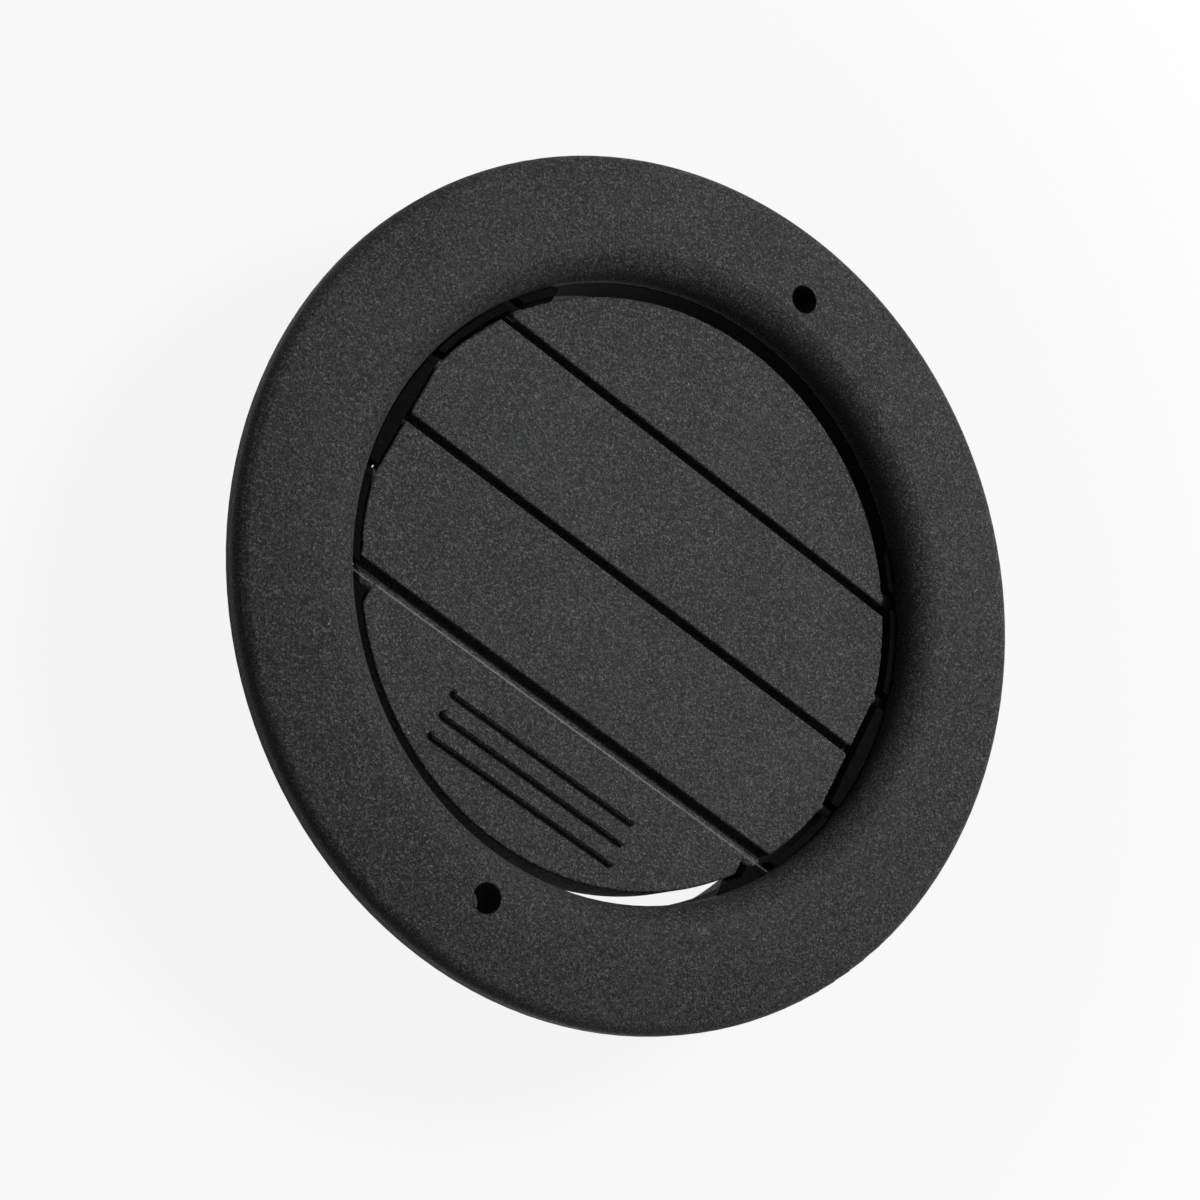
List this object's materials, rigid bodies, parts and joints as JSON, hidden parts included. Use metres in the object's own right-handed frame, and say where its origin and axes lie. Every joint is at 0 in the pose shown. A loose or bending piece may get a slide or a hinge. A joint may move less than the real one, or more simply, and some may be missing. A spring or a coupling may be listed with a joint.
{
  "type": "headliner air vent",
  "caption": "Round overhead air vent: domed screw-on bezel, snap-in turning ring and linked louvres that tilt together from shut to open.",
  "frame": {"origin": "centre of the flange's back plane, midway between the screw holes", "axes": "+Z out of the front face, X along the louvres, Y across them with the ribbed louvre on the -Y side"},
  "size_m": [0.127, 0.127, 0.0285],
  "materials": {
    "bezel_grain": "fine spark-eroded grain on moulded charcoal black",
    "louvre_grain": "fine spark-eroded grain on moulded charcoal black",
    "smooth_black": "smooth as moulded",
    "link_plastic": "smooth self-lubricating moulding",
    "drag_rubber": "plain rubber"
  },
  "bodies": {
    "bezel": {"bezel": "bezel_grain"},
    "rotor": {"rotor_ring": "smooth_black", "drag_ring": "drag_rubber"},
    "louvre_1": {"louvre_1": "louvre_grain"},
    "louvre_2": {"louvre_2": "louvre_grain"},
    "louvre_3": {"louvre_3": "louvre_grain"},
    "louvre_4": {"louvre_4": "louvre_grain"},
    "link": {"link_bar": "link_plastic"}
  },
  "joints": [
    {"name": "rotor_turn", "type": "hinge", "parent": "bezel", "child": "rotor", "pos_m": [0, 0, 0], "axis": [0, 0, 1], "continuous": true},
    {"name": "louvre_4_tilt", "type": "hinge", "parent": "rotor", "child": "louvre_4", "pos_m": [0, -0.02322, -0.0021], "axis": [1, 0, 0], "range_deg": [0, 70]},
    {"name": "louvre_1_tilt", "type": "hinge", "parent": "rotor", "child": "louvre_1", "pos_m": [0, 0.02403, -0.0021], "axis": [1, 0, 0], "range_deg": [0, 70]},
    {"name": "louvre_2_tilt", "type": "hinge", "parent": "rotor", "child": "louvre_2", "pos_m": [0, 0.00983, -0.0021], "axis": [1, 0, 0], "range_deg": [0, 70]},
    {"name": "louvre_3_tilt", "type": "hinge", "parent": "rotor", "child": "louvre_3", "pos_m": [0, -0.00983, -0.0021], "axis": [1, 0, 0], "range_deg": [0, 70]},
    {"name": "link_swing", "type": "hinge", "parent": "louvre_4", "child": "link", "pos_m": [-0.0097, -0.03572, -0.0101], "axis": [1, 0, 0], "range_deg": [-70, 0]}
  ],
  "couplings": [
    {"joint": "louvre_1_tilt", "follows": "louvre_4_tilt", "ratio": 1},
    {"joint": "louvre_2_tilt", "follows": "louvre_4_tilt", "ratio": 1},
    {"joint": "louvre_3_tilt", "follows": "louvre_4_tilt", "ratio": 1},
    {"joint": "link_swing", "follows": "louvre_4_tilt", "ratio": -1}
  ]
}
